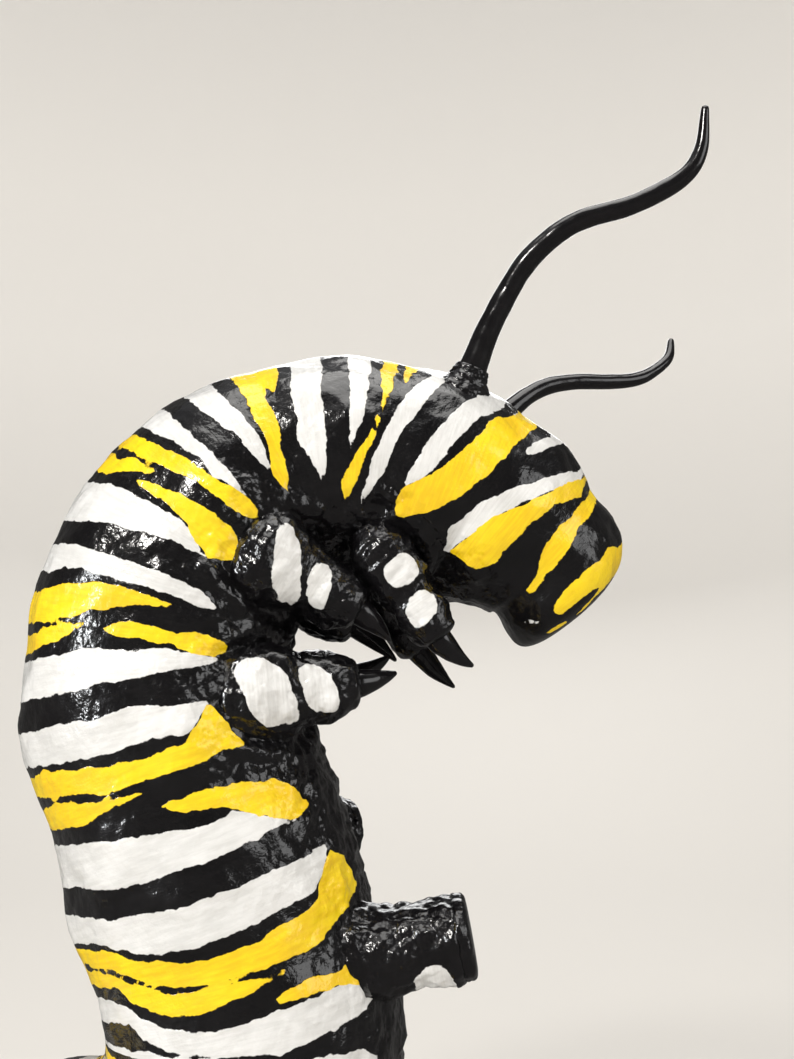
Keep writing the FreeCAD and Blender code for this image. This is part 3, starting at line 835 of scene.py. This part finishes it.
def proleg(proleg_name, sole_name, root, end, size, seed, marks, standing=False):
    """A short stout tube with a thick sole; a standing one is flat underneath."""
    root, end = np.array(root, float), np.array(end, float)
    direction = unit(end - root)
    right = end[1] < 0
    outer = (0, -1, 0) if right else (0, 1, 0)
    spots = [tuple(root + (end - root) * t) for t in (0, 0.25, 0.6, 0.8, 0.93, 1.0)]
    widths = [size + 6, size + 3.4, size - 0.6, size - 1.2, size + 0.2, size - 0.6]
    tube(proleg_name, spots, widths, black_paint, spacing=1.3, columns=110, lumps=0.6,
         lump_size=15, seed=seed, crumple_level=0.85, outer=outer, marks=marks, fold=0.7)
    spots = [tuple(end + direction * SOLE_THICKNESS * t) for t in (-0.35, 0.05, 0.35, 0.7, 0.92, 1.0)]
    widths = [size - 2.6, size - 1.0, size - 0.9, size - 1.4, size - 2.8, size - 4.6]
    tube(sole_name, spots, widths, black_paint, spacing=0.8, columns=110,
         lumps=0.12 if standing else 0.4, lump_size=12, seed=seed + 4, crumple_level=0.4, outer=outer,
         fold=0.1 if standing else 0.35, floor=GROUND if standing else None)


for order, (name, (root, end, size)) in enumerate(RAISED_PROLEGS.items()):
    mark_turn = 60 if name.endswith("right") else -60
    proleg("proleg_" + name, "sole_" + name, root, end, size, 120 + 7 * order,
           [(0.79, mark_turn, 9, 13, 0)])
for side_name, side_sign in (("right", -1), ("left", 1)):
    for number, (x, offset) in STANDING_PROLEGS.items():
        proleg("proleg_%s_%s" % (number, side_name), "sole_%s_%s" % (number, side_name),
               (x, side_sign * offset, 60), (x, side_sign * offset, 2), STANDING_RADIUS,
               150 + int(number) * 9 + side_sign, [(0.62, 0, 10, 14, 0)], standing=True)
    x, offset = ANAL_PROLEG
    proleg("anal_proleg_" + side_name, "anal_sole_" + side_name, (x, side_sign * offset, 55),
           (x, side_sign * offset, 2), ANAL_RADIUS, 190 + side_sign, [(0.62, 0, 9, 10, 0)], standing=True)


# ---------------------------------------------------------------- stage
def studio_sweep():
    """A round floor that curves up into a pale wall well away from the figure; the sweep glows with painted
    light and shows dark in glossy reflections.
    """
    ring, turns = [], 96
    outline = [(0.02, 0), (0.8, 0), (1.4, 0)]
    for a in np.linspace(0.08, math.pi / 2, 22):
        outline.append((1.4 + 2.1 * math.sin(a), 2.1 * (1 - math.cos(a))))
    outline += [(3.5, 3.2), (3.5, 4.2)]
    bearings = np.linspace(0, 2 * math.pi, turns, False)
    for r, z in outline:
        ring.append([(r * math.cos(t), r * math.sin(t), z) for t in bearings])
    points = [p for row in ring for p in row] + [(0, 0, 0)]
    faces = grid_faces(len(ring), turns).tolist()
    faces += [[len(points) - 1, t, (t + 1) % turns] for t in range(turns)]
    mesh = bpy.data.meshes.new("studio_sweep")
    mesh.from_pydata(points, [], faces)
    mesh.polygons.foreach_set("use_smooth", np.ones(len(mesh.polygons), bool))
    mesh.update()
    sweep = bpy.data.objects.new("studio_sweep", mesh)
    bpy.context.scene.collection.objects.link(sweep)
    material = bpy.data.materials.new("studio_wall")
    shader, node, join = node_tools(material)
    place = node("ShaderNodeTexCoord").outputs["Object"]
    parts = node("ShaderNodeSeparateXYZ")
    join(place, parts.inputs[0])
    rise = node("ShaderNodeMapRange")
    join(parts.outputs["Z"], rise.inputs["Value"])
    rise.inputs["From Max"].default_value = 1.5
    wall = tint(node, join, rise.outputs["Result"], (0.52, 0.50, 0.47), (0.80, 0.78, 0.75))
    # Painted light: the sweep glows by itself, and to glossy rays its colour and glow turn dark, a painted
    # dim room in the figure's reflections.
    mirrored_ray = node("ShaderNodeLightPath").outputs["Is Glossy Ray"]
    join(tint(node, join, mirrored_ray, wall, (0.06, 0.058, 0.056)), shader.inputs["Base Color"])
    painted_glow = tint(node, join, mirrored_ray, (0.19, 0.185, 0.175), (0.02, 0.02, 0.02))
    join(painted_glow, shader.inputs["Emission Color"])
    shader.inputs["Emission Strength"].default_value = 1.0
    shader.inputs["Roughness"].default_value = 0.9
    mesh.materials.append(material)


studio_sweep()


def soft_light(name, place, target, width, height, power, colour=(1, 1, 1)):
    """A flat lamp that the camera does not see, turned towards a target."""
    lamp = bpy.data.lights.new(name, "AREA")
    lamp.shape = "RECTANGLE"
    lamp.size, lamp.size_y = width, height
    lamp.energy = power
    lamp.color = colour
    holder = bpy.data.objects.new(name, lamp)
    holder.location = place
    holder.rotation_euler = (Vector(target) - Vector(place)).to_track_quat("-Z", "Y").to_euler()
    holder.visible_camera = False
    bpy.context.scene.collection.objects.link(holder)


soft_light("key", (-1.1, -1.7, 1.9), (0, 0, 0.35), 0.42, 0.34, 28, (1, 0.97, 0.93))
soft_light("window", (-1.7, -0.9, 0.55), (0, 0, 0.35), 0.22, 0.45, 12, (0.96, 0.98, 1))
soft_light("ceiling", (0.2, -0.2, 2.6), (0, 0, 0.3), 1.8, 1.8, 27, (1, 0.98, 0.95))
soft_light("fill", (1.9, -1.3, 1.0), (0, 0, 0.3), 1.2, 1.2, 9)
soft_light("back", (0.4, 2.2, 1.6), (0, 0, 0.3), 1.4, 1.2, 16)

world = bpy.data.worlds.new("studio")
world.use_nodes = True
world.node_tree.nodes["Background"].inputs[0].default_value = (0.9, 0.9, 0.92, 1)
world.node_tree.nodes["Background"].inputs[1].default_value = 0.22
bpy.context.scene.world = world
bpy.context.scene.view_settings.view_transform = "Standard"

# ---------------------------------------------------------------- camera
TURN = math.radians(6)
RISE = math.radians(8)
DISTANCE = 0.580
AIM_HEIGHT = 400
camera = bpy.data.cameras.new("camera")
camera.sensor_width = 36
camera.lens = 39.1
camera.clip_start = 0.02
camera.clip_end = 30
viewer = bpy.data.objects.new("camera", camera)
bpy.context.scene.collection.objects.link(viewer)
look = Vector((math.sin(TURN) * math.cos(RISE), math.cos(TURN) * math.cos(RISE), math.sin(RISE)))
aim = Vector((SHIFT + np.array([0, 0, AIM_HEIGHT])) / 1000)
viewer.location = aim - look * DISTANCE
viewer.rotation_euler = look.to_track_quat("-Z", "Y").to_euler()
bpy.context.scene.camera = viewer
